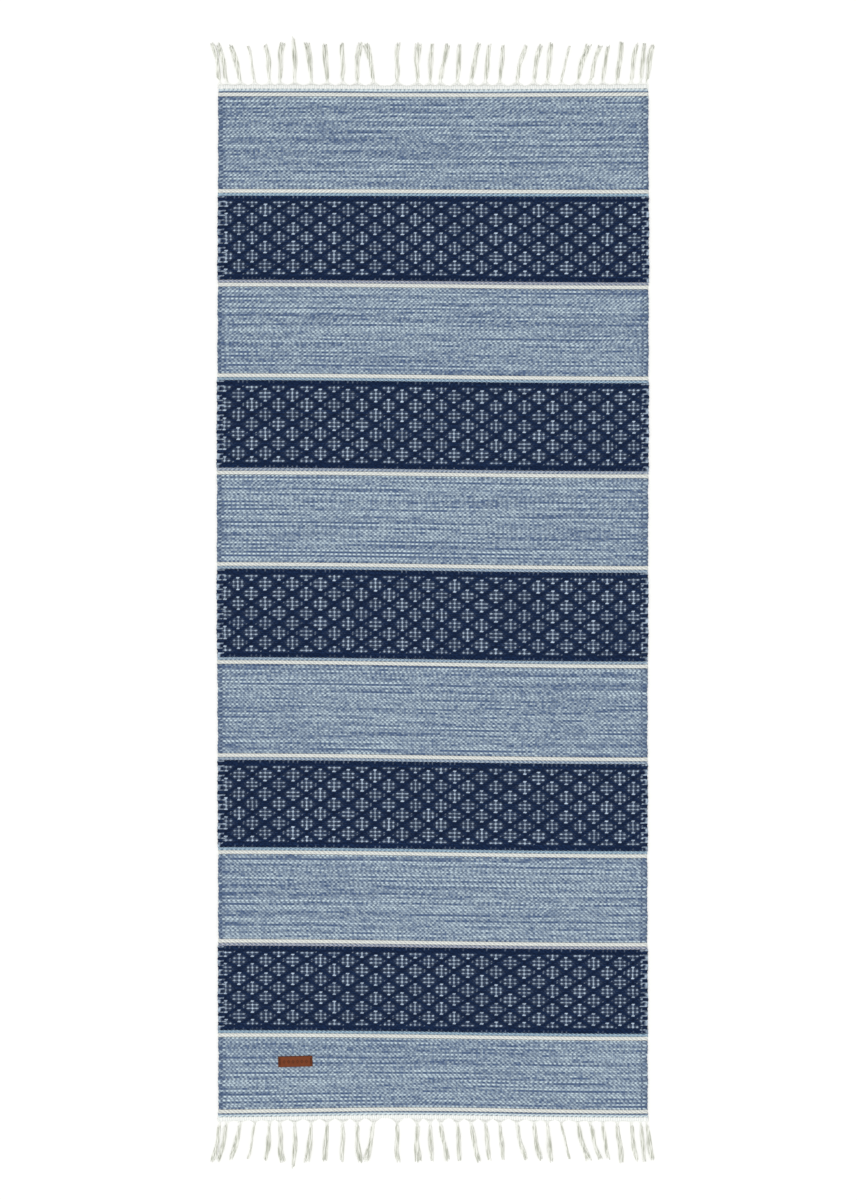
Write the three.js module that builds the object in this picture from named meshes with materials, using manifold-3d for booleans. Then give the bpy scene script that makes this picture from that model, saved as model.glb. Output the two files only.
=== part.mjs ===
// Runner rug: a flat-woven cotton rug with striped bands, a fringe at both ends and a leather label.
// Millimetres, +Z up, +Y along the rug. The origin is the middle of the underside.
//
// The rug is a weft-faced weave. Each band is one run of weft that goes over and under the warp,
// so it wraps the warp on both faces: here it is a flat sleeve, and the warp lies in its slot.

import * as THREE from 'three';
import { mergeVertices } from 'three/addons/utils/BufferGeometryUtils.js';
import Module from 'manifold-3d';

const wasm = await Module();
wasm.setup();

// ---------------------------------------------------------------- driving dimensions

const clothWidth = 600;
const clothThickness = 4.4;
const gap = 0.3;                // clearance between pieces that touch

const melangeLengths = [129, 121, 122, 124, 118, 97];   // from the far end to the near end
const diamondLengths = [118, 122, 123, 121, 117];
const creamLength = 5.2;        // two picks
const paleLength = 3.8;
const denimLength = 4.6;
const headingLength = 6.2;      // white picks that lock the end of the cloth
const loopOverhang = 0.6;       // weft loops of a diamond band stand out at each side edge
const edgeRadius = 1.3;         // rounding of the side edges, where the weft turns back

const warpThickness = 0.4;
const warpWidth = 592;

const tasselLength = 58;
const tasselThickness = 4.2;
const tasselWidth = 6;
const tasselSteps = 3;
const spineReach = 1.5;         // the spine of a fringe comes this far out, where its tassels join it
const longTassel = 6;           // index of the one tassel that was left longer
const longTasselExtra = 11;
// Where each tassel leaves the cloth, and how far its tip has swung sideways.
const tasselPlaces = [
  -298, -288, -269, -249, -228, -214, -193, -170, -148, -126, -106, -83, -50, -22, -4,
  10, 34, 53, 73, 93, 117, 141, 159, 179, 202, 219, 237, 257, 277, 290, 298,
];
const tasselLeans = [
  -9, -11, -13, -10, -5, 3, -2, -5, -3, -1, 3, -10, 1, 1, 2,
  10, 4, 10, 6, 5, 12, 8, 7, 12, 14, 15, 7, 7, 7, 6, 9,
];

const labelWidth = 48;
const labelHeight = 15;
const labelThickness = 1.4;
const labelCorner = 1.2;
const labelPlace = { x: -192, y: -640, turn: THREE.MathUtils.degToRad(1.5) };

const stitchInset = 2.6;        // from the label's short end
const stitchPitch = 4.6;
const stitchCount = 3;
const threadRadius = 0.45;
const stitchBarHeight = 0.5;
const stitchDepth = 1.1;        // how far the thread reaches into the cloth

// ---------------------------------------------------------------- materials

const cotton = (color) => new THREE.MeshStandardMaterial({ color, roughness: 0.92, metalness: 0 });
const leather = (color) => new THREE.MeshStandardMaterial({ color, roughness: 0.6, metalness: 0 });

const IVORY = 0xe4e1d6;
const WHITE = 0xf0efea;
const PALE = 0x9fb0be;
const DENIM = 0x6f8aa3;
const MELANGE = 0x8596a6;
const NAVY = 0x24344f;
const TAN = 0x7c3f22;
const THREAD = 0x4a2a1a;

// ---------------------------------------------------------------- helpers

const toSolid = (geometry) => {
  const bare = geometry.clone();
  bare.deleteAttribute('normal');
  bare.deleteAttribute('uv');
  const merged = mergeVertices(bare, 1e-4);
  return new wasm.Manifold(new wasm.Mesh({
    numProp: 3,
    vertProperties: new Float32Array(merged.attributes.position.array),
    triVerts: new Uint32Array(merged.index.array),
  }));
};

const toGeometry = (solid) => {
  const mesh = solid.getMesh();
  const geometry = new THREE.BufferGeometry();
  geometry.setAttribute('position', new THREE.BufferAttribute(mesh.vertProperties, 3));
  geometry.setIndex(new THREE.BufferAttribute(mesh.triVerts, 1));
  geometry.computeVertexNormals();
  return geometry;
};

const join = (geometries) => toGeometry(
  geometries.map(toSolid).reduce((whole, piece) => whole.add(piece)),
);

const cut = (geometry, tools) => toGeometry(
  tools.map(toSolid).reduce((rest, tool) => rest.subtract(tool), toSolid(geometry)),
);

const roundedRectangle = (width, height, radius) => {
  const x = width / 2 - radius;
  const y = height / 2 - radius;
  const shape = new THREE.Shape();
  shape.absarc(x, y, radius, 0, Math.PI / 2);
  shape.absarc(-x, y, radius, Math.PI / 2, Math.PI);
  shape.absarc(-x, -y, radius, Math.PI, 1.5 * Math.PI);
  shape.absarc(x, -y, radius, 1.5 * Math.PI, 2 * Math.PI);
  shape.closePath();
  return shape;
};

const upright = (radius, bottom, top, sides = 8) => {
  const post = new THREE.CylinderGeometry(radius, radius, top - bottom, sides);
  post.rotateX(Math.PI / 2);
  post.translate(0, 0, (top + bottom) / 2);
  return post;
};

const rug = new THREE.Group();

const addNode = (name, geometry, material, y = 0) => {
  const mesh = new THREE.Mesh(geometry, material);
  mesh.name = name;
  mesh.position.y = y;
  rug.add(mesh);
  return mesh;
};

// ---------------------------------------------------------------- weft bands

// A flat tube, open at both ends, that surrounds the warp with its clearance.
const sleeve = (length, width) => {
  const outline = roundedRectangle(width, clothThickness, edgeRadius);
  const slotX = warpWidth / 2 + gap;
  const slotZ = warpThickness / 2 + gap;
  const slot = new THREE.Path();
  slot.moveTo(-slotX, -slotZ);
  slot.lineTo(slotX, -slotZ);
  slot.lineTo(slotX, slotZ);
  slot.lineTo(-slotX, slotZ);
  slot.closePath();
  outline.holes.push(slot);
  const tube = new THREE.ExtrudeGeometry(outline, {
    depth: length, bevelEnabled: false, curveSegments: 3,
  });
  tube.translate(0, 0, -length / 2);
  tube.rotateX(Math.PI / 2);
  tube.translate(0, 0, clothThickness / 2);
  return tube;
};

// The order of the bands along the rug, from the far end (+Y) to the near end (-Y).
const bands = [];
const counts = {};
const band = (kind, length, color, width = clothWidth) => {
  counts[kind] = (counts[kind] ?? 0) + 1;
  bands.push({ name: `${kind}_${counts[kind]}`, length, color, width });
};
const cream = () => band('cream_stripe', creamLength, IVORY);
const pale = () => band('pale_line', paleLength, PALE);

band('heading', headingLength, WHITE);
band('denim_line', denimLength, DENIM);
melangeLengths.forEach((length, i) => {
  cream();
  band('melange_band', length, MELANGE);
  cream();
  if (i < diamondLengths.length) {
    pale();
    band('diamond_band', diamondLengths[i], NAVY, clothWidth + 2 * loopOverhang);
    pale();
  }
});
band('denim_line', denimLength, DENIM);
band('heading', headingLength, WHITE);

const clothLength = bands.reduce((sum, b) => sum + b.length, 0) + gap * (bands.length - 1);
const clothEnd = clothLength / 2;

let edge = clothEnd;
for (const b of bands) {
  b.y = edge - b.length / 2;
  edge -= b.length + gap;
}

// ---------------------------------------------------------------- label and its stitching

const labelBottom = clothThickness + gap;
const labelTop = labelBottom + labelThickness;
const stitchBarBottom = labelTop + gap;
const stitchBarTop = stitchBarBottom + stitchBarHeight;
const stitchX = labelWidth / 2 - stitchInset;
const stitchRows = Array.from({ length: stitchCount }, (_, i) => (i - (stitchCount - 1) / 2) * stitchPitch);

// Moves geometry from the label's own axes to the rug's.
const placeOnLabel = (geometry) => {
  geometry.rotateZ(labelPlace.turn);
  geometry.translate(labelPlace.x, labelPlace.y, 0);
  return geometry;
};

const postsAt = (x, radius, bottom, top) => stitchRows.map((y) => {
  const post = upright(radius, bottom, top);
  post.translate(x, y, 0);
  return placeOnLabel(post);
});

const holeRadius = threadRadius + gap;
const needleHoles = [-stitchX, stitchX].flatMap((x) => postsAt(
  x, holeRadius, clothThickness - stitchDepth - gap, labelTop + 1,
));

const labelBlank = new THREE.ExtrudeGeometry(
  roundedRectangle(labelWidth, labelHeight, labelCorner),
  { depth: labelThickness, bevelEnabled: false, curveSegments: 4 },
);
labelBlank.translate(0, 0, labelBottom);

// One row of thread at a short end: it lies along the leather and goes down through each needle hole.
const stitching = (x) => {
  const run = stitchPitch * (stitchCount - 1) + 2 * threadRadius;
  const bar = new THREE.BoxGeometry(2 * threadRadius, run, stitchBarHeight);
  bar.translate(x, 0, (stitchBarBottom + stitchBarTop) / 2);
  const legs = postsAt(x, threadRadius, clothThickness - stitchDepth, stitchBarTop - stitchBarHeight / 2);
  return join([placeOnLabel(bar), ...legs]);
};

// ---------------------------------------------------------------- fringe

const tassel = (x, lean, length) => {
  const start = clothEnd + gap;
  const height = tasselThickness / 2;
  const route = new THREE.QuadraticBezierCurve3(
    new THREE.Vector3(x, start, height),
    new THREE.Vector3(x + lean / 4, start + length / 2, height),
    new THREE.Vector3(x + lean, start + length, height),
  );
  const section = new THREE.Shape();
  section.absellipse(0, 0, tasselThickness / 2, tasselWidth / 2, 0, 2 * Math.PI);
  return new THREE.ExtrudeGeometry(section, {
    steps: tasselSteps, curveSegments: 3, extrudePath: route, bevelEnabled: false,
  });
};

// The warp ends of one side: a spine of threads inside the heading, and the tassels that hang from it.
const fringe = () => {
  const inner = clothEnd - headingLength;
  const outer = clothEnd + gap + spineReach;
  const spine = new THREE.BoxGeometry(warpWidth, outer - inner, warpThickness);
  spine.translate(0, (inner + outer) / 2, clothThickness / 2);
  const tassels = tasselPlaces.map((x, i) => {
    const extra = i === longTassel ? longTasselExtra : 0;
    return tassel(x, tasselLeans[i], tasselLength + extra);
  });
  return join([spine, ...tassels]);
};

// ---------------------------------------------------------------- assembly

const coreLength = clothLength - 2 * (headingLength + gap);
const core = new THREE.BoxGeometry(warpWidth, coreLength, warpThickness);
core.translate(0, 0, clothThickness / 2);
addNode('warp_threads', core, cotton(IVORY));

for (const b of bands) {
  const tube = sleeve(b.length, b.width);
  const labelled = Math.abs(b.y - labelPlace.y) < b.length / 2;
  const holes = labelled ? needleHoles.map((hole) => hole.clone().translate(0, -b.y, 0)) : [];
  addNode(b.name, labelled ? cut(tube, holes) : tube, cotton(b.color), b.y);
}

addNode('fringe_far', fringe(), cotton(IVORY));
const nearFringe = addNode('fringe_near', fringe().scale(1, -1, 1), cotton(IVORY));
nearFringe.geometry.index.array.reverse();   // a mirrored shell is inside out until its corners are reversed

addNode('leather_label', cut(placeOnLabel(labelBlank), needleHoles), leather(TAN));
addNode('label_stitch_left', stitching(-stitchX), cotton(THREAD));
addNode('label_stitch_right', stitching(stitchX), cotton(THREAD));

export default rug;
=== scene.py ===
"""Runner rug: a flat-woven cotton rug with striped bands, two fringes and a leather label."""

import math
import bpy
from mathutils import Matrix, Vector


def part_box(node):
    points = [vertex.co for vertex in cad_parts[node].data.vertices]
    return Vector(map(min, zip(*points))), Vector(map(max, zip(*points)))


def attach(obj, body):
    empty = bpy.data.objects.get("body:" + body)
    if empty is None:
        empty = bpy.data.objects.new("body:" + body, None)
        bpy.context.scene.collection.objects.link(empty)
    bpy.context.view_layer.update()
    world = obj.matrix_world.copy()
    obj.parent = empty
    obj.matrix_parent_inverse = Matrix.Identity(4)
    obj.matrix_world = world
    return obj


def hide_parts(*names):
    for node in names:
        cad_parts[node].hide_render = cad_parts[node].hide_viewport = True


bl_info = {
    "name": "Woven runner rug",
    "version": (1, 0, 0),
    "blender": (4, 5, 0),
    "location": "3D View > Sidebar > Rug",
    "description": "Weaves a flat cotton runner band by band, with its fringes and label",
    "category": "Object",
}

import bmesh
import bpy
import numpy as np
from bpy.props import FloatProperty, FloatVectorProperty, IntProperty, PointerProperty
from mathutils import Vector

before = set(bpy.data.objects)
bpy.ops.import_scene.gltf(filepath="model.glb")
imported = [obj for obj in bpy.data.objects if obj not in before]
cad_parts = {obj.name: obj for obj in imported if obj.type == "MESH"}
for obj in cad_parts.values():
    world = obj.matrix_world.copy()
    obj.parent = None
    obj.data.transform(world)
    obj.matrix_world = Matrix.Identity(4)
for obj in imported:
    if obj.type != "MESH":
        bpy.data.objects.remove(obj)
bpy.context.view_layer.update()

MM = 0.001
ROOT = "root"
UV = "threads"  # across in warp ends (3.2 mm each), along in picks (2.6 mm each)
BAND_SHIFT = 60  # picks between two bands' coordinates, so that no two bands share a pattern
SHOULDER = 4.0 * MM  # how far from each side edge the cloth begins to round over
EDGE_ENDS = 1.5  # warp ends over which it rounds
TAPER = 0.45  # how much of its thickness the cloth loses at the outer edge of a heading
FACE_SHARE = 0.85  # the walking face's share of a band's bake map


def linear(code):
    """An sRGB hex colour as linear red, green and blue."""
    parts = [int(code[i : i + 2], 16) / 255 for i in (1, 3, 5)]
    return [v / 12.92 if v <= 0.04045 else ((v + 0.055) / 1.055) ** 2.4 for v in parts]


def length(name, text, value):
    return FloatProperty(name=name, description=text, default=value, subtype="DISTANCE", unit="LENGTH")


def colour(name, text, code):
    return FloatVectorProperty(name=name, description=text, default=linear(code), subtype="COLOR", size=3)


# ------------------------------------------------------------------------------ settings


class RugSizes(bpy.types.PropertyGroup):
    ends: IntProperty(name="Warp ends", description="Warp threads across the rug", default=190, min=20)
    body: length("Half thickness", "From the middle of the cloth to the mean of its face", 1.70 * MM)
    crown: length("Crown", "How far each weft float stands out of the face", 0.42 * MM)
    furrow: length("Furrow", "How much deeper the cloth lies between two picks", 0.10 * MM)
    draw_in: length("Draw-in", "How far the warp ends crowd together towards each side edge", 6.5 * MM)
    strand: length("Strand radius", "Radius of one cord of a tassel", 0.80 * MM)
    strands: IntProperty(name="Strands", description="Cords in one tassel", default=8, min=3)


class RugColours(bpy.types.PropertyGroup):
    sky: colour("Mélange light", "Pale ply of the mélange weft", "#CDDFE7")
    denim: colour("Mélange dark", "Denim ply of the mélange weft", "#586C8D")
    navy: colour("Navy", "Weft of the diamond bands", "#162949")
    figure: colour("Figure", "Pale inlaid weft of the figures", "#C9DCEE")
    cream: colour("Cream", "Ivory stripes", "#E8EBE4")
    pale: colour("Pale blue", "Lines beside the navy bands", "#AECADA")
    white: colour("White", "Bleached headings", "#F1F3F0")
    warp: colour("Warp", "Unbleached warp and fringe", "#F0F1EA")
    leather: colour("Leather", "Tan of the label", "#6E3311")


# ------------------------------------------------------------------------------ nodes


def add(tree, kind, links=None, **settings):
    """Adds a node with its settings, and links or sets its sockets."""
    node = tree.nodes.new(kind)
    for key, value in settings.items():
        setattr(node, key, value)
    for key, value in (links or {}).items():
        if isinstance(value, bpy.types.NodeSocket):
            tree.links.new(value, node.inputs[key])
        else:
            node.inputs[key].default_value = value
    return node


def new_material(name, **sockets):
    material = bpy.data.materials.new(name)
    material.use_nodes = True
    tree = material.node_tree
    shader = tree.nodes["Principled BSDF"]
    for key, value in sockets.items():
        shader.inputs[key.replace("_", " ")].default_value = value
    return material, tree, shader


def rgba(value):
    return (*value, 1.0)


def yarn(name, light, dark, hollow_shade, second=None, shade_depth=0.8, spread=0.09, fleck=0.16):
    """Weft-faced cotton weave.

    Spun cotton yarn, beaten down hard so that only weft shows: a matt face of small rounded floats. Shade is
    painted into the colour where a float dives under its neighbour and between two picks. The attribute
    "crown" follows the height of the floats (1 on top, -1 at the bottom) and sets that painted shade, and
    "inlay" is the share of a second colour: an inlaid yarn, and painted shade at the mélange bands' side
    edges. Tones follow the picks: one pick is about 2.6 mm and one warp end 3.2 mm.
    """
    material, tree, shader = new_material(
        name,
        Roughness=0.95,
        IOR=1.45,
        Specular_IOR_Level=0.12,
        Sheen_Weight=0.04,
        Sheen_Roughness=0.5,
    )
    uv = add(tree, "ShaderNodeUVMap", uv_map=UV).outputs[0]
    split = add(tree, "ShaderNodeSeparateXYZ", {0: uv})
    row = add(tree, "ShaderNodeMath", {0: split.outputs["Y"]}, operation="ROUND").outputs[0]
    column = add(tree, "ShaderNodeMath", {0: split.outputs["X"]}, operation="ROUND").outputs[0]
    crown = add(tree, "ShaderNodeAttribute", attribute_name="crown").outputs["Fac"]
    # Painted shade: the lower the "crown" attribute, the more the colour goes towards the dark shade colour.
    shade = add(
        tree,
        "ShaderNodeMapRange",
        {"Value": crown, "From Min": -0.9, "From Max": 0.45, "To Min": shade_depth, "To Max": 0.0},
        interpolation_type="SMOOTHSTEP",
    ).outputs["Result"]

    # Streaks up to 150 mm long, each in one pick only, on shades up to 500 mm long, a bobbin's reach.
    along = add(tree, "ShaderNodeMath", {0: split.outputs["X"], 1: 0.036}, operation="MULTIPLY").outputs[0]
    tones = []
    for step in (0.0, 7.37):
        across = add(
            tree, "ShaderNodeMath", {0: row, 1: 7.37, 2: step}, operation="MULTIPLY_ADD"
        ).outputs[0]
        place = add(tree, "ShaderNodeCombineXYZ", {"X": along, "Y": across}).outputs[0]
        streaks = add(
            tree, "ShaderNodeTexNoise", {"Vector": place, "Scale": 1.0, "Detail": 4.0, "Roughness": 0.65}
        ).outputs["Fac"]
        wide = add(
            tree, "ShaderNodeVectorMath", {0: place, 1: (0.2, 1.0, 1.0)}, operation="MULTIPLY"
        ).outputs[0]
        lines = add(tree, "ShaderNodeTexNoise", {"Vector": wide, "Scale": 1.0, "Detail": 1.0}).outputs["Fac"]
        tones.append(
            add(
                tree, "ShaderNodeMix", {"Factor": 0.48, "A": streaks, "B": lines}, data_type="FLOAT"
            ).outputs["Result"]
        )
    # Two shuttles take turns, so that a dark pick often lies beside a light one.
    neighbour = add(
        tree, "ShaderNodeMath", {0: tones[1], 1: -0.45, 2: 0.225}, operation="MULTIPLY_ADD"
    ).outputs[0]
    drifted = add(tree, "ShaderNodeMath", {0: tones[0], 1: neighbour}, operation="ADD").outputs[0]
    # Every float has its own turn of the two plies, so its own share of the darker one.
    cell = add(tree, "ShaderNodeCombineXYZ", {"X": column, "Y": row}).outputs[0]
    chance = add(tree, "ShaderNodeTexWhiteNoise", {"Vector": cell}, noise_dimensions="2D").outputs["Value"]
    tone = add(
        tree, "ShaderNodeMix", {"Factor": 0.15, "A": drifted, "B": chance}, data_type="FLOAT"
    ).outputs["Result"]
    share = add(
        tree, "ShaderNodeMapRange", {"Value": tone, "From Min": 0.5 - spread, "From Max": 0.5 + spread}
    ).outputs["Result"]
    ground = add(
        tree, "ShaderNodeMix", {"Factor": share, "A": rgba(light), "B": rgba(dark)}, data_type="RGBA"
    ).outputs["Result"]
    if second is not None:
        inlay_and_edge_shade = add(tree, "ShaderNodeAttribute", attribute_name="inlay_and_edge_shade").outputs["Fac"]
        ground = add(
            tree, "ShaderNodeMix", {"Factor": inlay_and_edge_shade, "A": ground, "B": rgba(second)}, data_type="RGBA"
        ).outputs["Result"]

    # Fibres run along each float. They are drawn about three times too coarse, or they would not show.
    fine = add(tree, "ShaderNodeVectorMath", {0: uv, 1: (1.6, 7.0, 1.0)}, operation="MULTIPLY").outputs[0]
    fibre = add(tree, "ShaderNodeTexNoise", {"Vector": fine, "Scale": 1.0, "Detail": 3.0}).outputs["Fac"]
    speck = add(
        tree, "ShaderNodeMix", {"Factor": 0.5, "A": chance, "B": fibre}, data_type="FLOAT"
    ).outputs["Result"]
    value = add(
        tree, "ShaderNodeMapRange", {"Value": speck, "To Min": 1.0 - fleck, "To Max": 1.0 + fleck}
    ).outputs["Result"]
    toned = add(
        tree, "ShaderNodeVectorMath", {0: ground, "Scale": value}, operation="SCALE"
    ).outputs["Vector"]
    # Here the painted shade of the hollows and furrows is laid over the tones.
    final = add(
        tree, "ShaderNodeMix", {"Factor": shade, "A": toned, "B": rgba(hollow_shade)}, data_type="RGBA"
    ).outputs["Result"]
    tree.links.new(final, shader.inputs["Base Color"])
    bump = add(tree, "ShaderNodeBump", {"Height": fibre, "Strength": 0.5, "Distance": 0.15 * MM})
    tree.links.new(bump.outputs["Normal"], shader.inputs["Normal"])
    return material


# ------------------------------------------------------------------------------ weaving


# How far the picks drop towards the left side edge, and rise towards the right one, in mm along the rug.
SLANT_Y = [-708, -606, -86, 442, 573, 708]
SLANT_DROP = [0.1, 2.6, 3.1, 2.0, 0.5, -0.2]


def spaced(x, y):
    """The warp ends' uneven spacing: they bunch and part every few ends, not quite alike along the rug."""
    # They crowd towards a line left of the middle, most of all just right of it. The side edges hold them.
    crowding = -3.0 * np.tanh((x + 30 * MM) / (60 * MM)) - 2.2 * np.exp(-(((x - 60 * MM) / (50 * MM)) ** 2))
    aside = crowding * (1 - np.clip(x / (300 * MM), -1, 1) ** 30)
    aside = aside + 0.45 * np.sin(x / (13 * MM) + y / (120 * MM))
    aside = aside + 0.3 * np.sin(x / (5.1 * MM) + y / (60 * MM))
    return x + aside * MM


def drift(x, y):
    """Where a point of the straight cloth really lies."""
    side = x / (300 * MM)
    drop = np.interp(y / MM, SLANT_Y, SLANT_DROP) * np.sin(np.pi / 2 * side)
    # The stripe at each end waves once, where the cloth was drawn in unevenly.
    near_end = 1.7 * np.exp(-(((y + 708 * MM) / (70 * MM)) ** 2))
    far_end = 0.6 * np.exp(-(((y - 708 * MM) / (70 * MM)) ** 2))
    drop = drop - near_end * np.cos(np.pi * (side + 0.1)) + far_end * np.cos(np.pi * (side - 0.2))
    # The left side edge stands out past the middle, and the right one is drawn in towards the near end.
    left = 1.9 * np.exp(-(((y - 120 * MM) / (330 * MM)) ** 2)) - 0.5
    right = -0.2 - 0.9 * np.cos((y + 370 * MM) / (260 * MM))
    out = np.where(side < 0, left, right)
    ripple = 0.3 * np.sin(y / (9 * MM)) + 0.25 * np.sin(y / (3.7 * MM))
    return x + side**3 * (out + ripple) * MM, y - drop * MM


def finish_mesh(name, mesh, material, node):
    for old in list(mesh.materials):
        mesh.materials.pop()
    mesh.materials.append(material)
    mesh.shade_smooth()
    piece = bpy.data.objects.new(name, mesh)
    bpy.context.scene.collection.objects.link(piece)
    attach(piece, ROOT)
    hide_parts(node)
    return piece


def lean(x, y):
    """How the floats slant, from -1 for "\\" to 1 for "/". The grid's own facets slant a little like "/",
    so that at the far end about 0 looks like "/", and the near end needs much less than 0."""
    chance = np.random.default_rng(5)
    total = np.interp(y, [-0.64, -0.39, -0.13, 0.13, 0.39, 0.64], [-0.42, -0.43, -0.37, -0.26, -0.18, -0.02])
    total = total - 0.25 * x * (0.5 - y / 1.3)
    for _ in range(7):
        across, along = chance.uniform(-55, 55), chance.uniform(-120, 120)
        total = total + 0.06 * np.sin(across * x + along * y + chance.uniform(0, 6.3))
    return total


def plain(end, pick, slant):
    """Height of the floats of a plain weave, from -1 to 1, with whole numbers at a thread's middle."""
    share = 0.5 - 0.5 * np.clip(slant, -1, 1)
    return share * np.cos(np.pi * (end + pick)) + (1 - share) * np.cos(np.pi * (end - pick))


def bake_map(mesh, turn, row, across, rows, span, layer):
    """Lays the tube out in a square: its walking face in several strips, its back in a thinner one."""
    corners = np.empty(len(mesh.loops), np.int32)
    mesh.loops.foreach_get("vertex_index", corners)
    column = turn[corners].reshape(-1, 4)
    height = row[corners].reshape(-1, 4) / rows
    first = column.min(axis=1, keepdims=True)
    strips = max(1, round(math.sqrt(FACE_SHARE * 600 * MM / span)))
    per_strip = math.ceil(across / strips)
    on_top = first < across
    strip = np.where(on_top, first // per_strip, strips)
    start = np.where(on_top, strip * per_strip, across)
    u = (column - start) / np.where(on_top, per_strip, across)
    low = np.where(on_top, strip / strips * FACE_SHARE, FACE_SHARE)
    tall = np.where(on_top, FACE_SHARE / strips, 1 - FACE_SHARE)
    v = low + tall * (0.03 + 0.94 * height)
    uv = np.stack([0.004 + 0.992 * u, v], axis=-1)
    layer.data.foreach_set("uv", uv.ravel())


def weave(
    name,
    node,
    picks,
    material,
    slant=1.0,
    relief=None,
    inlay_and_edge_shade=None,
    fine=1,
    shift=0,
    edge=None,
    inlay_shade_lift=0.0,
    outward=0,
):
    """One run of weft around the warp: a grid wrapped into a flat tube that closes at both ends.

    A grid column is half a warp end wide (less if fine is above 1) and a grid row half a pick long.
    With outward at 1 or -1 the cloth thins and sinks to the floor towards that end of the rug.
    relief and inlay give the height of the floats and the share of the second colour at each end and pick;
    that colour is an inlaid yarn, and painted shade at the mélange bands' side edges. inlay_shade_lift
    raises the
    "crown" attribute over the second colour, so that less shade is painted on it while the floats stay as
    high, and edge moves points along the rug.
    """
    sizes = bpy.context.scene.rug_sizes
    low, high = (np.array(corner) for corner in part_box(node))
    half_width = (high[0] - low[0]) / 2
    middle = (high[2] + low[2]) / 2
    across = 2 * fine * sizes.ends
    rows = 2 * picks + 2
    bm = bmesh.new()
    bmesh.ops.create_grid(bm, x_segments=2 * across, y_segments=rows, size=1.0)
    mesh = bpy.data.meshes.new(name)
    bm.to_mesh(mesh)

    flat = np.empty(len(mesh.vertices) * 3)
    mesh.vertices.foreach_get("co", flat)
    flat = flat.reshape(-1, 3)
    turn = np.rint((flat[:, 0] + 1) / 2 * 2 * across)
    row = np.rint((flat[:, 1] + 1) / 2 * rows)
    column = np.where(turn <= across, turn, 2 * across - turn)
    face = np.where(turn <= across, 1.0, -1.0)
    end = column / (2 * fine) - 0.5
    pick = np.clip((row - 1) / 2, 0, picks) - 0.5

    # The warp ends crowd towards the side edges, which are rounded.
    roll = round(2 * EDGE_ENDS * fine)
    inset = np.minimum(column, across - column)
    angle = np.minimum(inset / roll, 1) * np.pi / 2
    place = 2 * column / across - 1
    natural = place * (half_width + sizes.draw_in) - sizes.draw_in * np.sign(place) * np.abs(place) ** 8
    y = low[1] + (pick + 0.5) / picks * (high[1] - low[1])
    natural = spaced(natural, y)
    shoulder = half_width - SHOULDER
    reach = shoulder + SHOULDER * np.cos(angle)
    x = np.where(inset < roll, np.sign(natural) * reach, np.clip(natural, -shoulder, shoulder))

    tilt = slant * lean(x, y)
    chance = np.random.default_rng(shift + 1)
    slip = chance.uniform(-0.3, 0.3, picks + 3)[np.rint(pick + 1).astype(int)]
    crown = relief(end, pick, tilt) if relief is not None else plain(end + slip, pick, tilt)
    share = inlay_and_edge_shade(end, pick) if inlay_and_edge_shade is not None else np.zeros(len(x))
    # Hand-fed weft: no two floats stand equally high, and the picks waver a little.
    cells = chance.uniform(0.7, 1.25, (2 * sizes.ends + 4, picks + 3))
    crown = crown * cells[np.rint(turn / (2 * fine)).astype(int), np.rint(pick + 1).astype(int)]
    crown = crown + chance.normal(0, 0.12, len(x))
    along = (pick + 0.5) / picks
    y = y + 0.25 * MM * np.sin(x / (23 * MM) + y / (7 * MM)) * np.sin(np.pi * along)
    furrow = np.cos(2 * np.pi * pick) * 0.5 - 0.5 if outward == 0 else np.zeros(len(x))
    out = abs(outward) * np.where(outward > 0, along, 1 - along)
    thick = sizes.body * (1 - TAPER * out)
    level = middle * (1 - out) + (thick + 0.2 * MM) * out
    texture = sizes.crown * crown + sizes.furrow * furrow
    body = thick * np.sin(angle) + texture * np.clip(inset / roll, 0.15, 1)
    body = np.minimum(body, np.where(face > 0, 1.0, level - 0.03 * MM))
    closing = (row == 0) | (row == rows)
    z = level + np.where(closing | (inset == 0), 0.0, face * body)
    # The weft turns back round the outermost end in small loops.
    x = x + np.sign(x) * np.where(inset < roll, 0.35 * MM * np.cos(np.pi * (pick + 0.5)), 0.0)
    if edge is not None:
        y = y + edge(x, along)
    # Where two bands meet, the floats of one reach between those of the other, and don't touch them.
    from_edge = np.minimum(pick + 0.5, picks - 0.5 - pick)
    y = y + 0.45 * MM * np.cos(np.pi * end) * np.exp(-from_edge)
    x, y = drift(x, y)
    mesh.vertices.foreach_set("co", np.stack([x, y, z], axis=1).ravel())

    corners = np.empty(len(mesh.loops), np.int32)
    mesh.loops.foreach_get("vertex_index", corners)
    threads = np.stack([turn / (2 * fine) - 0.5, pick + shift], axis=1)
    mesh.uv_layers.new(name=UV).data.foreach_set("uv", threads[corners].ravel())
    bake_map(mesh, turn, row, across, rows, high[1] - low[1], mesh.uv_layers.new(name="OFBake"))
    # The "crown" attribute sets the painted shade: it follows the floats' height, lies lower in the furrows,
    # and is lifted over the second colour so that less shade is painted there.
    for key, values in (("inlay_and_edge_shade", share), ("crown", crown + 0.45 * furrow + inlay_shade_lift * share)):
        mesh.attributes.new(key, "FLOAT", "POINT").data.foreach_set("value", values.astype(np.float32))

    bm.clear()
    bm.from_mesh(mesh)
    bmesh.ops.remove_doubles(bm, verts=bm.verts, dist=0.01 * MM)
    bm.to_mesh(mesh)
    bm.free()
    return finish_mesh(name, mesh, material, node)


def numbered(kind):
    """The nodes of one kind, from the far end to the near end."""
    names = [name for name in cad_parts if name.rsplit("_", 1)[0] == kind]
    return sorted(names, key=lambda name: int(name.rsplit("_", 1)[1]))


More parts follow.
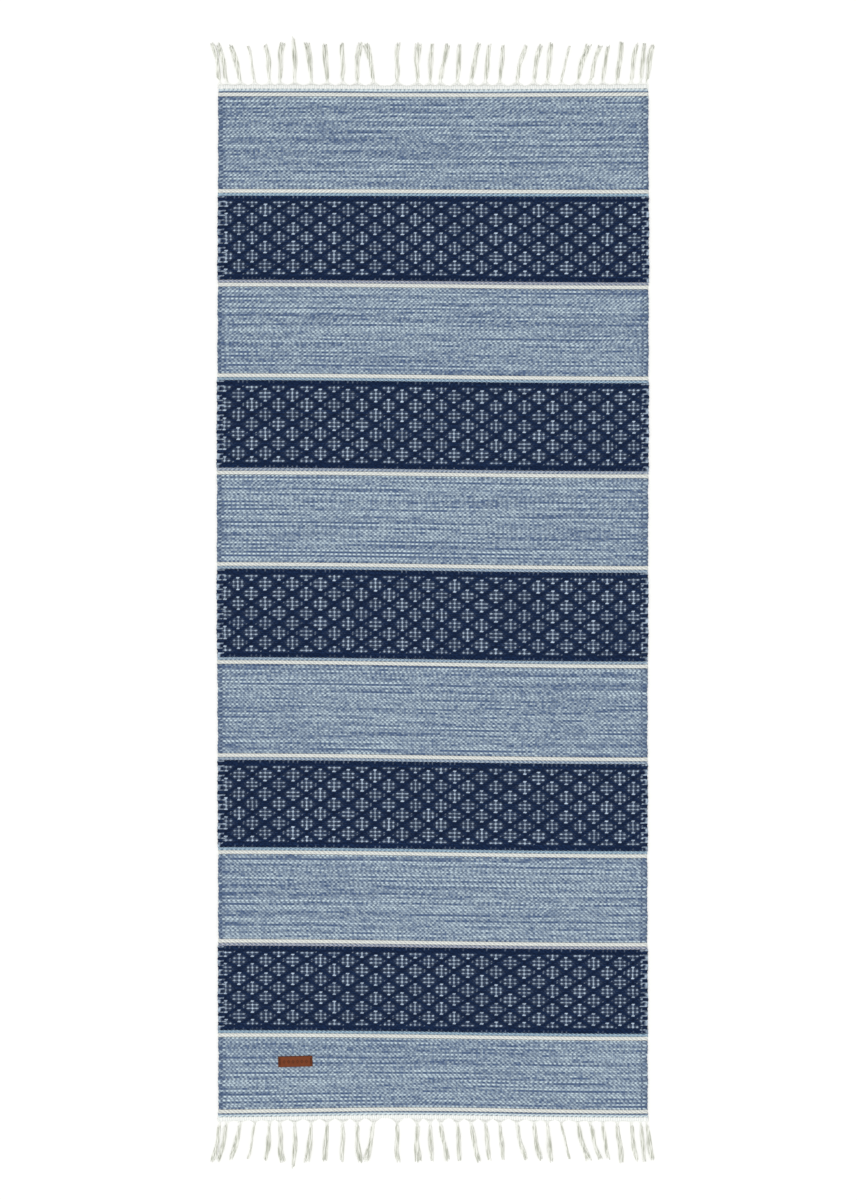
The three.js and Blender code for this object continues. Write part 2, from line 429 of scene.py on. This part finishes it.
def cords(name, routes, radius, sides=6):
    """A mesh of many separate closed cords, from a list of (points, radius factors)."""
    curve = bpy.data.curves.new(name, "CURVE")
    curve.dimensions = "3D"
    curve.fill_mode = "FULL"
    curve.bevel_depth = radius
    curve.bevel_resolution = (sides - 4) // 2
    curve.use_fill_caps = True
    for points, factors in routes:
        spline = curve.splines.new("POLY")
        spline.points.add(len(points) - 1)
        spline.points.foreach_set("co", np.column_stack([points, np.ones(len(points))]).ravel())
        spline.points.foreach_set("radius", factors)
    holder = bpy.data.objects.new(name + "_curve", curve)
    bpy.context.scene.collection.objects.link(holder)
    bpy.context.view_layer.update()
    mesh = bpy.data.meshes.new_from_object(holder.evaluated_get(bpy.context.evaluated_depsgraph_get()))
    bpy.data.objects.remove(holder)
    bm = bmesh.new()
    bm.from_mesh(mesh)
    bmesh.ops.remove_doubles(bm, verts=bm.verts, dist=0.001 * MM)
    bmesh.ops.recalc_face_normals(bm, faces=bm.faces)
    bm.to_mesh(mesh)
    bm.free()
    mesh.name = name
    return mesh


# ------------------------------------------------------------------------------ operators


class Build(bpy.types.Operator):
    """Base of the building steps"""

    bl_options = {"REGISTER", "UNDO"}

    def execute(self, context):
        self.build(context.scene.rug_sizes, context.scene.rug_colours)
        return {"FINISHED"}


class RUG_OT_stage(Build):
    """Sets the floor, the studio light and the camera"""

    bl_idname = "rug.stage"
    bl_label = "Stage"

    def build(self, sizes, colours):
        scene = bpy.context.scene
        scene.view_settings.view_transform = "Standard"

        bm = bmesh.new()
        bmesh.ops.create_grid(bm, x_segments=4, y_segments=4, size=60.0)
        mesh = bpy.data.meshes.new("floor")
        bm.to_mesh(mesh)
        bm.free()
        # White studio paper, uncoated: quite matt, so that it fades evenly into the air behind it.
        material, _, _ = new_material("studio_paper", Base_Color=rgba(linear("#F7F7F5")), Roughness=0.95)
        mesh.materials.append(material)
        floor = bpy.data.objects.new("floor", mesh)
        scene.collection.objects.link(floor)

        world = bpy.data.worlds.new("studio_air")
        world.use_nodes = True
        air = world.node_tree.nodes["Background"]
        air.inputs["Color"].default_value = (1.0, 1.0, 1.0, 1.0)
        # The air looks as white as the paper, so that no horizon shows, but it gives less light.
        seen = add(world.node_tree, "ShaderNodeLightPath").outputs["Is Camera Ray"]
        strength = add(world.node_tree, "ShaderNodeMapRange", {"Value": seen, "To Min": 0.70, "To Max": 1.0})
        world.node_tree.links.new(strength.outputs["Result"], air.inputs["Strength"])
        scene.world = world
        # A broad, even light from above, a little from the near end.
        lamp = bpy.data.lights.new("key", "SUN")
        lamp.energy = 1.38
        lamp.angle = math.radians(35)
        holder = bpy.data.objects.new("key", lamp)
        holder.rotation_euler = Vector((0.1, 0.3, -1.1)).to_track_quat("-Z", "Y").to_euler()
        scene.collection.objects.link(holder)

        # A long lens straight above the rug, which lies a little right of the picture's middle.
        camera = bpy.data.cameras.new("camera")
        camera.lens = 100.0
        camera.sensor_width = 36.0
        camera.clip_end = 30.0
        holder = bpy.data.objects.new("camera", camera)
        holder.location = (-6.3 * MM, 3.5 * MM, 4.653)
        scene.collection.objects.link(holder)
        scene.camera = holder


class RUG_OT_melange_bands(Build):
    """Weaves the six light bands of two-tone blue weft"""

    bl_idname = "rug.melange_bands"
    bl_label = "Mélange bands"
    pick_length = 2.6 * MM

    def build(self, sizes, colours):
        # Cotton weft of one denim and one pale ply, loosely twisted: the plies take turns on the face,
        # so each pick shows its own light and dark streaks.
        # A darker copy of the denim: painted shade for the side edges, where the cloth rounds over. The
        # third colour is painted shade in the hollows between the floats.
        shaded_denim = [v * 0.75 for v in colours.denim]
        material = yarn(
            "melange_cotton",
            colours.sky,
            colours.denim,
            linear("#384863"),
            second=shaded_denim,
            shade_depth=0.8,
            spread=0.11,
            fleck=0.16,
        )

        def selvedge(end, pick):
            """Painted shade where the cloth rounds over at the side edges: a darker copy of the denim in the
            hollows near the edge, and on the outermost end in some of the picks.
            """
            inward = np.minimum(end + 0.5, sizes.ends - 0.5 - end)
            hollow_shade = np.mod(np.rint(end) + np.rint(pick), 2) == 1
            dots = np.where(hollow_shade & (inward < 3.1), 0.9, 0.0)
            return np.where(inward < 1.1, np.where(np.mod(pick, 5) < 2.6, 0.75, 0.0), dots)

        for i, node in enumerate(numbered("melange_band")):
            low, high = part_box(node)
            picks = round((high[1] - low[1]) / self.pick_length)
            weave(
                f"melange_cloth_{i + 1}",
                node,
                picks,
                material,
                inlay_and_edge_shade=selvedge,
                shift=BAND_SHIFT * i,
            )


class RUG_OT_diamond_bands(Build):
    """Weaves the five navy bands with their pale inlaid figures"""

    bl_idname = "rug.diamond_bands"
    bl_label = "Diamond bands"

    picks = 45
    repeat_ends = 12
    repeat_picks = 10
    first_end = 93  # the warp end under the middle of one figure, five picks from the middle of the band
    middle_pick = 22

    def local(self, end, pick):
        """Ends and picks from the middle of the nearest figure, and 0 to 1 towards the next ones."""
        best = None
        for side, up in ((0, 5), (6, 0)):
            e = (end - self.first_end + side + 6) % self.repeat_ends - 6
            p = (pick - self.middle_pick + up + 5) % self.repeat_picks - 5
            reach = np.abs(e) / 6 + np.abs(p) / 5
            if best is None:
                best = (e, p, reach)
            else:
                near = reach < best[2]
                best = tuple(np.where(near, new, old) for new, old in zip((e, p, reach), best, strict=True))
        return best

    def build(self, sizes, colours):
        # Navy cotton weft with a pale one inlaid, packed tightly. The hollows between the floats are painted
        # nearly black as shade.
        material = yarn(
            "navy_cotton",
            [v * 1.3 for v in colours.navy],
            [v * 0.75 for v in colours.navy],
            linear("#081228"),
            second=colours.figure,
            shade_depth=0.8,
            fleck=0.3,
        )

        def relief(end, pick, tilt):
            """The floats of each figure, and the tighter lattice of navy weft between the figures."""
            e, p, reach = self.local(end, pick)
            lattice = np.clip((reach - 0.78) / 0.12, 0, 1)
            outside = np.abs(pick - self.middle_pick) > 20
            lattice = np.where(outside, 0.3, lattice)
            return (1 - 0.2 * lattice) * -plain(e, p, tilt) - 0.3 * lattice

        for i, node in enumerate(numbered("diamond_band")):
            chance = np.random.default_rng(40 + i)
            strength = chance.uniform(0.75, 1.1, (40, 12))
            upright = chance.uniform(-0.12, 0.12, (40, 12))
            speckle = chance.uniform(0.0, 1.0, (400, 60))

            def figure(end, pick, strength=strength, upright=upright, speckle=speckle):
                e, p, reach = self.local(end, pick)
                ae, ap = np.abs(e), np.abs(p)
                which = (np.rint((end - e) / 6).astype(int) % 40, np.rint((pick - p) / 5).astype(int) % 12)
                own, stand = strength[which], upright[which]
                grain = speckle[np.rint(end * 2).astype(int) % 400, np.rint(pick).astype(int) % 60]
                fuzz = 0.04 * np.clip((0.86 - reach) / 0.12, 0, 1)
                bar = (np.abs(ap - 1) < 0.3) & (ae <= 2.6)
                post = (np.minimum(ae, np.abs(ae - 2)) < 0.3) & (ap <= np.where(ae < 1, 3.3, 2.1))
                dot = (np.abs(ap - 3) < 0.3) & (ae < 0.6)
                spark = (np.abs(ae - 4) < 0.3) & (ap < 0.6) & (grain > 0.7)
                ink = np.where(post, np.where(ae < 1, 0.52, 0.26) + stand, fuzz)
                ink = np.where(bar, 0.40 - stand, ink)
                ink = np.where((bar & post) | dot, 0.95, ink)
                ink = np.where(spark, 0.4, ink)
                from_middle = np.abs(pick - self.middle_pick)
                tick = (from_middle > 21.3) & (np.abs(e % 2) < 0.3) & (grain > 0.5)
                ink = np.where(from_middle <= 19.6, ink, np.where(tick, 0.2, 0.0))
                ink = ink * own * (0.7 + 0.45 * grain)
                # The pale weft turns back at the side edges: a loop with two arms in every five picks.
                inward = np.minimum(end + 0.5, sizes.ends - 0.5 - end)
                turn = np.mod(pick + 1.5, 5)
                arm = (np.minimum(np.abs(turn - 0.5), np.abs(turn - 3.0)) < 0.35) & (inward < 2.4 + grain)
                bow = (turn > 0.2) & (turn < 3.3) & (inward < 1.1)
                loop = np.where(arm | bow, 0.25 + 0.5 * grain, 0.0)
                ink = np.where(inward < 2.2, loop, np.maximum(ink, loop))
                return np.clip(ink, 0, 1)

            weave(
                f"diamond_cloth_{i + 1}",
                node,
                self.picks,
                material,
                relief=relief,
                inlay_and_edge_shade=figure,
                inlay_shade_lift=1.0,
                shift=BAND_SHIFT * (i + 6),
            )


class RUG_OT_cream_stripes(Build):
    """Weaves the twelve cream stripes of two thick picks"""

    bl_idname = "rug.cream_stripes"
    bl_label = "Cream stripes"

    def build(self, sizes, colours):
        # Undyed cotton in two full, soft picks: the floats run together into slanting cords.
        warm = [v * 0.95 for v in colours.cream]
        # The grey third colour is painted shade in the hollows between the cords.
        material = yarn("cream_cotton", colours.cream, warm, linear("#8E9096"), shade_depth=0.6, fleck=0.08)

        def cords_of_yarn(end, pick, tilt):
            return 0.9 * plain(end, pick, tilt)

        for i, node in enumerate(numbered("cream_stripe")):
            shift = BAND_SHIFT * (i + 12)
            weave(
                f"cream_yarn_{i + 1}",
                node,
                2,
                material,
                slant=3.5,
                relief=cords_of_yarn,
                shift=shift,
            )


class RUG_OT_pale_lines(Build):
    """Weaves the ten pale blue or mauve lines beside the navy bands"""

    bl_idname = "rug.pale_lines"
    bl_label = "Pale lines"
    mauve_shares = (0.0, 0.9, 0.1, 0.65, 0.35, 0.25, 0.5, 0.0, 0.9, 0.0)

    def build(self, sizes, colours):
        # Pale single cotton, thinner than its neighbours. Between its floats the colour goes to a dark navy
        # blue:
        # painted shade in the hollows, which also stands for navy showing there. Some of the lines were
        # woven from a blue cone, some from a mauve grey one, and some from both.
        dull = [v * 0.85 for v in colours.pale]
        mauve = linear("#B4B5BF")
        material = yarn(
            "pale_blue_cotton", colours.pale, dull, linear("#3A5070"), second=mauve, shade_depth=0.8, fleck=0.12
        )
        for i, node in enumerate(numbered("pale_line")):

            def mauve_share(end, pick, share=self.mauve_shares[i]):
                return np.full(len(end), share)

            weave(
                f"pale_yarn_{i + 1}",
                node,
                2,
                material,
                inlay_and_edge_shade=mauve_share,
                shift=BAND_SHIFT * (i + 26),
            )


class RUG_OT_denim_lines(Build):
    """Weaves the denim line beside each heading: a dark pick, and a pale one towards the heading"""

    bl_idname = "rug.denim_lines"
    bl_label = "Denim lines"

    def build(self, sizes, colours):
        # Denim-blue cotton pick against a pale one: the two colours alternate as small beads.
        # The third colour is painted shade in the hollows; the pale pick's floats get less of it.
        material = yarn(
            "denim_cotton",
            linear("#8EA1B5"),
            linear("#6B7D96"),
            linear("#3E4E69"),
            second=linear("#D9E7EA"),
            shade_depth=0.75,
            fleck=0.15,
        )
        for i, node in enumerate(numbered("denim_line")):
            outer = 1 if i == 0 else 0

            def beads(end, pick, outer=outer):
                return np.where(np.abs(pick - outer) < 0.6, 0.9, 0.0)

            weave(
                f"denim_yarn_{i + 1}",
                node,
                2,
                material,
                slant=2.0,
                inlay_and_edge_shade=beads,
                inlay_shade_lift=0.4,
                shift=BAND_SHIFT * (i + 38),
            )


# Where each tassel leaves the cloth, how far its tip has swung sideways, and how its tip spreads.
TASSEL_PLACES = [
    -298, -288, -269, -249, -228, -214, -193, -170, -148, -126, -106, -83, -50, -22, -4,
    10, 34, 53, 73, 93, 117, 141, 159, 179, 202, 219, 237, 257, 277, 290, 298,
]
TASSEL_LEANS = [
    -9, -11, -13, -10, -5, 3, -2, -5, -3, -1, 3, -10, 1, 1, 2,
    10, 4, 10, 6, 5, 12, 8, 7, 12, 14, 15, 7, 7, 7, 6, 9,
]
TASSEL_LENGTH = 58 * MM
GOLDEN_ANGLE = 2.39996  # spreads the cords evenly over a bundle's section
OUTER_PLACE = 304  # where the next tassel past each side edge would be
ROOT_REACH = 9 * MM  # how far aside of its tassel a cord may leave the cloth
LONG_TASSEL = 6
LONG_EXTRA = 11 * MM
THIN_TASSELS = {3, 23}
SPLAYED_TASSELS = {5, 7, 11, 13, 24}


class RUG_OT_headings(Build):
    """Makes the white heading at each end, where the warp shows as fine ribs"""

    bl_idname = "rug.headings"
    bl_label = "Headings"

    def build(self, sizes, colours):
        # Bleached cotton picks, drawn so tight that the warp stands up under them as fine ribs.
        dull = [v * 0.96 for v in colours.white]
        # The grey third colour is painted shade in the furrows between the ribs.
        material = yarn("white_cotton", colours.white, dull, linear("#BEC3C0"), shade_depth=0.6, fleck=0.03)
        places = np.array(TASSEL_PLACES) * MM

        def ribs(end, pick, tilt):
            return 0.55 * np.cos(2 * np.pi * end)

        for i, node in enumerate(numbered("heading")):
            outward = 1 if i == 0 else -1

            def scallop(x, along):
                """The outer edge draws back between two tassels."""
                gap = np.abs(x[:, None] - places[None, :]).min(axis=1)
                share = along if outward > 0 else 1 - along
                return -outward * share * np.minimum(gap * 0.12, 1.2 * MM)

            weave(
                f"heading_yarn_{i + 1}",
                node,
                3,
                material,
                relief=ribs,
                fine=2,
                outward=outward,
                shift=BAND_SHIFT * (i + 42),
                edge=scallop,
            )


def cotton_cord(name, base, shadow, root=None):
    """Loosely twisted cotton cord: matt, with a soft shade between its plies.

    The noise is 1.5 mm across and 20 mm long, the width and the reach of one cord's own shade. The twist
    itself is too fine to show.
    """
    material, tree, shader = new_material(
        name, Roughness=0.95, IOR=1.45, Specular_IOR_Level=0.12, Sheen_Weight=0.05, Sheen_Roughness=0.5
    )
    place = add(tree, "ShaderNodeTexCoord").outputs["Object"]
    drawn = add(
        tree, "ShaderNodeVectorMath", {0: place, 1: (1.0, 0.07, 1.0)}, operation="MULTIPLY"
    ).outputs[0]
    grain = add(tree, "ShaderNodeTexNoise", {"Vector": drawn, "Scale": 650.0, "Detail": 2.0}).outputs["Fac"]
    share = add(
        tree, "ShaderNodeMapRange", {"Value": grain, "From Min": 0.40, "From Max": 0.56}
    ).outputs["Result"]
    mixed = add(
        tree, "ShaderNodeMix", {"Factor": share, "A": rgba(shadow), "B": rgba(base)}, data_type="RGBA"
    ).outputs["Result"]
    if root is not None:
        # Where the cords leave the cloth they still lie side by side. There the colour goes to a paler white
        # with no shade: painted light, which also lightens the shadow that the heading's edge casts on them.
        along = add(tree, "ShaderNodeSeparateXYZ", {0: place}).outputs["Y"]
        away = add(tree, "ShaderNodeMath", {0: along}, operation="ABSOLUTE").outputs[0]
        near = add(
            tree, "ShaderNodeMapRange", {"Value": away, "From Min": 0.720, "From Max": 0.732}
        ).outputs["Result"]
        mixed = add(
            tree, "ShaderNodeMix", {"Factor": near, "A": rgba(root), "B": mixed}, data_type="RGBA"
        ).outputs["Result"]
    tree.links.new(mixed, shader.inputs["Base Color"])
    bump = add(tree, "ShaderNodeBump", {"Height": grain, "Strength": 0.5, "Distance": 0.15 * MM})
    tree.links.new(bump.outputs["Normal"], shader.inputs["Normal"])
    return material


class RUG_OT_fringes(Build):
    """Makes the two fringes: each tassel is a bundle of warp threads drawn together"""

    bl_idname = "rug.fringes"
    bl_label = "Fringes"
    steps = 14

    def tassel(self, sizes, index, cloth_end, chance):
        """The cords of one tassel: they leave the cloth side by side and draw together into a bundle."""
        place = TASSEL_PLACES[index] * MM
        swing = TASSEL_LEANS[index] * MM
        reach = TASSEL_LENGTH + (LONG_EXTRA if index == LONG_TASSEL else 0) + chance.uniform(-3, 1) * MM
        before = TASSEL_PLACES[index - 1] if index else -OUTER_PLACE
        after = TASSEL_PLACES[index + 1] if index + 1 < len(TASSEL_PLACES) else OUTER_PLACE
        zone = ((before * MM + place) / 2, (after * MM + place) / 2)
        thin = index in THIN_TASSELS
        count = 3 if thin else sizes.strands + int(chance.integers(-1, 2))
        splay = chance.uniform(1.5, 2.1) if index in SPLAYED_TASSELS else chance.uniform(0.9, 1.35)
        spread = (1.0 if thin else chance.uniform(2.3, 3.0)) * MM
        sway, phase = chance.uniform(0.4, 1.6) * MM, chance.uniform(0, 6)
        numbers = np.arange(count)
        ring = np.sqrt((numbers + 0.4) / count)
        turn = numbers * GOLDEN_ANGLE + chance.uniform(0, 6)
        offsets = sorted(zip(ring * np.cos(turn), ring * np.sin(turn), strict=True))
        routes = []
        # side and up are a cord's place in the bundle's section, from -1 to 1.
        for i, (side, up) in enumerate(offsets):
            root = zone[0] + (i + 0.5) / count * (zone[1] - zone[0])
            root = place + np.clip(root - place, -ROOT_REACH, ROOT_REACH)
            own = 1 + chance.uniform(-0.07, 0.02)
            loose, turned = chance.uniform(0.2, 0.8) * MM, chance.uniform(0, 6)
            points = [
                (root, cloth_end - 4.0 * MM, 1.8 * MM),
                (root, cloth_end - 0.5 * MM, 1.25 * MM),
                (root + 0.50 * (place - root), cloth_end + 1.5 * MM, 1.2 * MM),
                (root + 0.80 * (place - root), cloth_end + 3.5 * MM, 1.3 * MM),
                (root + 0.92 * (place - root), cloth_end + 6.5 * MM, 1.6 * MM),
            ]
            for t in np.linspace(0.18, 1.0, self.steps):
                wide = 0.55 + 0.45 * min(1.0, t * 2.5) + (splay - 1) * max(0.0, t - 0.5) / 0.5
                x = place + swing * (0.5 * t * (1 - t) + t * t) + sway * math.sin(5 * t + phase) * t
                x = x + side * spread * wide + loose * math.sin(9 * t + turned)
                z = max(1.9 * MM + up * 1.1 * MM, sizes.strand * 1.1)
                points.append((x, cloth_end + own * reach * t, z))
            factors = [0.55] * 4 + [0.8] + [1.0] * (self.steps - 2) + [0.9, 0.6]
            routes.append((np.array(points), factors))
        return routes

    def build(self, sizes, colours):
        # Unbleached cotton warp ends, cut and left loose in bundles: soft shade lies between the ends.
        # The root colour is painted light: a paler white where the cords leave the cloth.
        material = cotton_cord("fringe_cotton", colours.warp, linear("#C0C3B6"), root=linear("#F6F7F4"))
        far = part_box("heading_1")[1][1]
        for node, outward in (("fringe_far", 1), ("fringe_near", -1)):
            chance = np.random.default_rng(7)
            routes = []
            for index in range(len(TASSEL_PLACES)):
                for points, factors in self.tassel(sizes, index, far, chance):
                    points[:, 1] *= outward
                    inside = np.abs(points[:, 1]) < far
                    moved = drift(points[:, 0], points[:, 1])
                    points[inside, 1] = moved[1][inside]
                    routes.append((points, factors))
            mesh = cords(node + "_threads", routes, sizes.strand)
            finish_mesh(node + "_threads", mesh, material, node)


class RUG_OT_warp(Build):
    """Lays the warp: straight cotton threads through the whole cloth"""

    bl_idname = "rug.warp"
    bl_label = "Warp threads"

    def build(self, sizes, colours):
        # Unbleached two-ply cotton, spun hard and laid straight: matt, and never seen on the faces.
        material = cotton_cord("warp_cotton", colours.warp, linear("#CFCFC3"))
        low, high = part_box("warp_threads")
        along = np.linspace(low[1], high[1], 9)
        middle = (low[2] + high[2]) / 2
        routes = []
        for i in range(sizes.ends):
            place = low[0] + (i + 0.5) / sizes.ends * (high[0] - low[0])
            x, y = drift(np.full(len(along), place), along)
            points = np.stack([x, y, np.full(len(along), middle)], axis=1)
            routes.append((points, [1.0] * len(along)))
        mesh = cords("warp_ends", routes, 0.5 * MM)
        finish_mesh("warp_ends", mesh, material, "warp_threads")


LABEL_SIZE = (48 * MM, 15 * MM)
LABEL_TURN = math.radians(1.5)
STITCH_X = 21.4 * MM
STITCH_ROWS = (-4.6 * MM, 0.0, 4.6 * MM)
LOZENGES = 6
LOZENGE_PITCH = 6.2 * MM
LOZENGE_HALF = (2.1 * MM, 2.6 * MM)
FOLD_X = 22.6 * MM


def on_label(points):
    """Turns points from the label's own axes to the rug's."""
    low, high = (np.array(corner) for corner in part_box("leather_label"))
    centre = (low + high) / 2
    c, s = math.cos(LABEL_TURN), math.sin(LABEL_TURN)
    x = centre[0] + c * points[:, 0] - s * points[:, 1]
    y = centre[1] + s * points[:, 0] + c * points[:, 1]
    return np.stack([x, y, points[:, 2]], axis=1)


class RUG_OT_label(Build):
    """Cuts and embosses the leather label, with a plain ornament of lozenges"""

    bl_idname = "rug.label"
    bl_label = "Leather label"

    def build(self, sizes, colours):
        # The leather lies a quarter of a millimetre lower than in CAD, so that the highest floats touch it.
        low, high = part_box("leather_label")
        bottom, top = low[2] - 0.25 * MM, high[2] - 0.25 * MM
        bm = bmesh.new()
        bmesh.ops.create_grid(bm, x_segments=144, y_segments=45, size=1.0)
        for vert in bm.verts:
            vert.co.x *= LABEL_SIZE[0] / 2
            vert.co.y *= LABEL_SIZE[1] / 2
        bmesh.ops.solidify(bm, geom=bm.faces[:], thickness=top - bottom)
        mesh = bpy.data.meshes.new("leather_label_tag")
        bm.to_mesh(mesh)
        bm.free()
        co = np.empty(len(mesh.vertices) * 3)
        mesh.vertices.foreach_get("co", co)
        co = co.reshape(-1, 3)
        upper = co[:, 2] > co[:, 2].mean()
        x, y = co[:, 0], co[:, 1]
        border = np.minimum(LABEL_SIZE[0] / 2 - np.abs(x), LABEL_SIZE[1] / 2 - np.abs(y))
        rounding = 0.5 * MM * (1 - np.clip(border / (0.9 * MM), 0, 1)) ** 2
        press = np.zeros(len(x))
        for k in range(LOZENGES):
            place = (k - (LOZENGES - 1) / 2) * LOZENGE_PITCH
            lozenge = np.abs(x - place) / LOZENGE_HALF[0] + np.abs(y) / LOZENGE_HALF[1]
            line = np.clip((1.25 - lozenge) / 0.35, 0, 1) * np.clip((lozenge - 0.3) / 0.3, 0, 1)
            press = np.maximum(press, line)
        fold = np.exp(-(((np.abs(x) - FOLD_X) / (0.6 * MM)) ** 2))
        holes = np.zeros(len(x))
        for sign in (-1, 1):
            for row in STITCH_ROWS:
                away = np.hypot(x - sign * STITCH_X, y - row)
                holes = np.maximum(holes, np.exp(-((away / (0.7 * MM)) ** 2)))
        surface = top - rounding - 0.22 * MM * press - 0.18 * MM * fold - 0.5 * MM * holes
        co[:, 2] = np.where(upper, surface, bottom)
        mesh.vertices.foreach_set("co", on_label(co).ravel())
        # The rim and the folds are darkened as painted shade; the pressed lozenges are darker leather.
        for key, values in (("press", press), ("rim_shade", np.clip(1 - border / (1.4 * MM), 0, 1) + fold)):
            mesh.attributes.new(key, "FLOAT", "POINT").data.foreach_set("value", values.astype(np.float32))
        finish_mesh("leather_label_tag", mesh, self.leather(colours), "leather_label")

    def leather(self, colours):
        """Vegetable-tanned cowhide, die-cut and heat-pressed: satin, darker where pressed, with painted
        shade along its rim and in its folds.
        """
        material, tree, shader = new_material(
            "tan_leather", Roughness=0.6, IOR=1.45, Specular_IOR_Level=0.2
        )
        place = add(tree, "ShaderNodeTexCoord")
        mottle = add(
            tree, "ShaderNodeTexNoise", {"Vector": place.outputs["Object"], "Scale": 180.0, "Detail": 4.0}
        )
        pores = add(
            tree, "ShaderNodeTexVoronoi", {"Vector": place.outputs["Object"], "Scale": 1100.0}
        )
        tanned = add(
            tree,
            "ShaderNodeMix",
            {
                "Factor": mottle.outputs["Fac"],
                "A": rgba([v * 0.72 for v in colours.leather]),
                "B": rgba([v * 1.3 for v in colours.leather]),
            },
            data_type="RGBA",
        ).outputs["Result"]
        for key, dark, amount in (("press", "#4A230F", 0.75), ("rim_shade", "#43210F", 0.6)):
            mark = add(tree, "ShaderNodeAttribute", attribute_name=key)
            weight = add(
                tree,
                "ShaderNodeMath",
                {0: mark.outputs["Fac"], 1: amount},
                operation="MULTIPLY",
                use_clamp=True,
            )
            tanned = add(
                tree,
                "ShaderNodeMix",
                {"Factor": weight.outputs[0], "A": tanned, "B": rgba(linear(dark))},
                data_type="RGBA",
            ).outputs["Result"]
        tree.links.new(tanned, shader.inputs["Base Color"])
        bump = add(
            tree,
            "ShaderNodeBump",
            {"Height": pores.outputs["Distance"], "Strength": 0.35, "Distance": 0.1 * MM},
        )
        tree.links.new(bump.outputs["Normal"], shader.inputs["Normal"])
        return material


class RUG_OT_stitching(Build):
    """Sews the label down with a few stitches at each short end"""

    bl_idname = "rug.stitching"
    bl_label = "Stitching"

    def build(self, sizes, colours):
        # Brown linen thread, waxed and tightly laid: dark and nearly matt, with no fibres standing out.
        material = cotton_cord("waxed_thread", linear("#4A2C1A"), linear("#2E1A10"))
        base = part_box("leather_label")[1][2]
        for node, sign in (("label_stitch_left", -1), ("label_stitch_right", 1)):
            routes = []
            for first, last in zip(STITCH_ROWS, STITCH_ROWS[1:]):
                t = np.linspace(0, 1, 9)
                y = first + 0.5 * MM + (last - first - 1.0 * MM) * t
                z = base - 0.9 * MM + 1.15 * MM * np.sqrt(np.clip(1 - np.abs(2 * t - 1) ** 4, 0, 1))
                points = on_label(np.stack([np.full(len(t), sign * STITCH_X), y, z], axis=1))
                routes.append((points, [1.0] * len(t)))
            mesh = cords(node + "_thread", routes, 0.42 * MM, sides=8)
            finish_mesh(node + "_thread", mesh, material, node)


class RUG_OT_declare(Build):
    """Groups each band with the narrow stripes and ends that go with it, and does nothing more with them"""

    bl_idname = "rug.declare"
    bl_label = "Declare the sheets"

    def build(self, sizes, colours):
        # Each band carries the narrow stripes at its two sides, and the end bands the rug's ends too.
        ends = {
            1: ["denim_yarn_1", "heading_yarn_1", "fringe_far_threads"],
            6: ["denim_yarn_2", "heading_yarn_2", "fringe_near_threads"],
        }
        for i in range(1, len(numbered("melange_band")) + 1):
            stripes = [f"cream_yarn_{2 * i - 1}", f"cream_yarn_{2 * i}"]
            self.declare(f"melange_cloth_{i}", f"melange_band_{i}", stripes + ends.get(i, []))
        for i in range(1, len(numbered("diamond_band")) + 1):
            stripes = [f"pale_yarn_{2 * i - 1}", f"pale_yarn_{2 * i}"]
            self.declare(f"diamond_cloth_{i}", f"diamond_band_{i}", stripes)

    def declare(self, cloth, node, others):
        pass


STEPS = (
    RUG_OT_stage,
    RUG_OT_warp,
    RUG_OT_melange_bands,
    RUG_OT_diamond_bands,
    RUG_OT_cream_stripes,
    RUG_OT_pale_lines,
    RUG_OT_denim_lines,
    RUG_OT_headings,
    RUG_OT_fringes,
    RUG_OT_label,
    RUG_OT_stitching,
    RUG_OT_declare,
)


class RUG_PT_panel(bpy.types.Panel):
    """Lists the building steps in their order"""

    bl_label = "Runner rug"
    bl_space_type = "VIEW_3D"
    bl_region_type = "UI"
    bl_category = "Rug"

    def draw(self, context):
        for step in STEPS:
            self.layout.operator(step.bl_idname)
        for group in (context.scene.rug_sizes, context.scene.rug_colours):
            for key in group.__annotations__:
                self.layout.prop(group, key)


CLASSES = (RugSizes, RugColours, *STEPS, RUG_PT_panel)


def register():
    for cls in CLASSES:
        bpy.utils.register_class(cls)
    bpy.types.Scene.rug_sizes = PointerProperty(type=RugSizes)
    bpy.types.Scene.rug_colours = PointerProperty(type=RugColours)


def unregister():
    del bpy.types.Scene.rug_colours
    del bpy.types.Scene.rug_sizes
    for cls in reversed(CLASSES):
        bpy.utils.unregister_class(cls)


def main():
    register()
    for step in STEPS:
        family, action = step.bl_idname.split(".")
        getattr(getattr(bpy.ops, family), action)()


if __name__ == "__main__":
    main()
